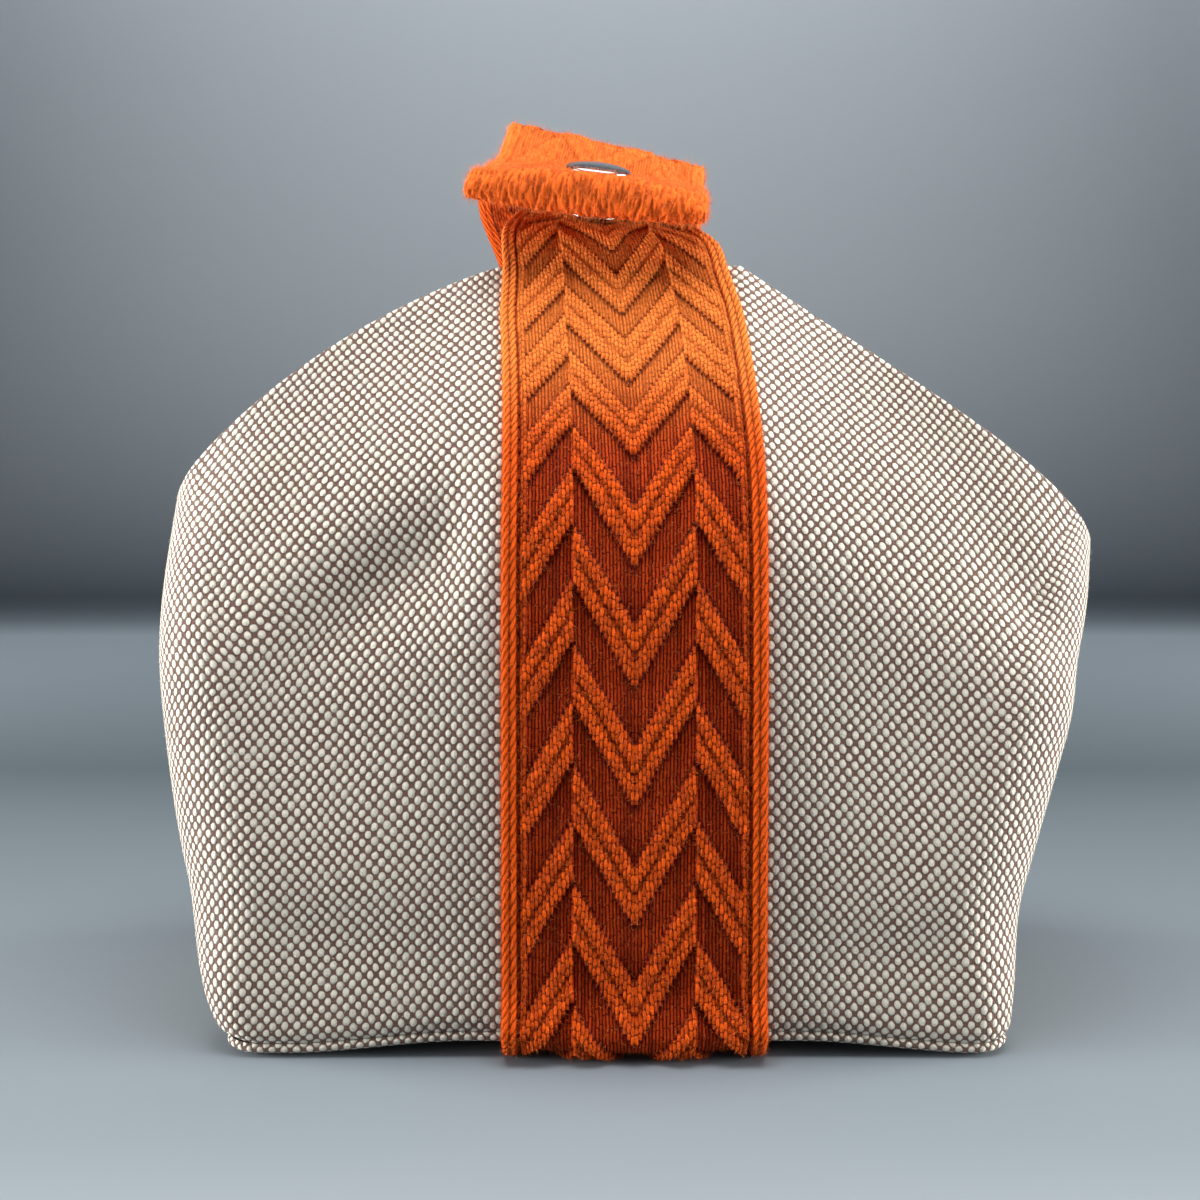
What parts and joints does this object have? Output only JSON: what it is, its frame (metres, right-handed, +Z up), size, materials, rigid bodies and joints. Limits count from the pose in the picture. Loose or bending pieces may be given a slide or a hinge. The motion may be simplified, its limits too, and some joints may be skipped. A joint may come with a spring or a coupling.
{
  "type": "vanity bag",
  "caption": "Soft canvas vanity bag, wide chevron webbing strap sewn round the base and faces, its free end folded over the gathered mouth as a flap with a snap.",
  "frame": {"origin": "on the floor, in the middle of the strap's underside", "axes": "+X to the right of the front, -Y out of the front, +Z up"},
  "size_m": [0.2159, 0.1032, 0.2134],
  "materials": {
    "canvas": "coarse plain weave, cream over brown",
    "webbing": "thick chevron webbing",
    "lining": "plain cotton",
    "board": "plain stiffener board",
    "snap_metal": "polished, plain dome"
  },
  "bodies": {
    "base": {"base_panel": "canvas", "base_board": "board", "base_lining": "lining", "base_strap": "webbing"},
    "front_wall": {"front_panel": "canvas", "front_lining": "lining", "front_facing": "canvas", "front_strap": "webbing", "snap_stud": "snap_metal", "stud_eyelet": "snap_metal"},
    "back_wall": {"back_panel": "canvas", "back_lining": "lining", "back_facing": "canvas", "back_strap": "webbing", "slip_pocket": "lining", "pocket_binding": "webbing"},
    "flap": {"flap_strap": "webbing", "snap_cap": "snap_metal", "snap_socket": "snap_metal", "socket_spring": "snap_metal"}
  },
  "joints": [
    {"name": "front_wall_swing", "type": "hinge", "parent": "base", "child": "front_wall", "pos_m": [0, -0.0516, 0.006], "axis": [1, 0, 0], "range_deg": [0, 10.5]},
    {"name": "back_wall_swing", "type": "hinge", "parent": "base", "child": "back_wall", "pos_m": [0, 0.0516, 0.006], "axis": [-1, 0, 0], "range_deg": [0, 10.5]},
    {"name": "flap_fold", "type": "hinge", "parent": "back_wall", "child": "flap", "pos_m": [-0.00486, 0.03161, 0.20817], "axis": [-0.9899, 0.0334, 0.138], "range_deg": [0, 175]}
  ],
  "couplings": [
    {"joint": "front_wall_swing", "follows": "flap_fold", "ratio": 0.06},
    {"joint": "back_wall_swing", "follows": "flap_fold", "ratio": 0.06}
  ]
}
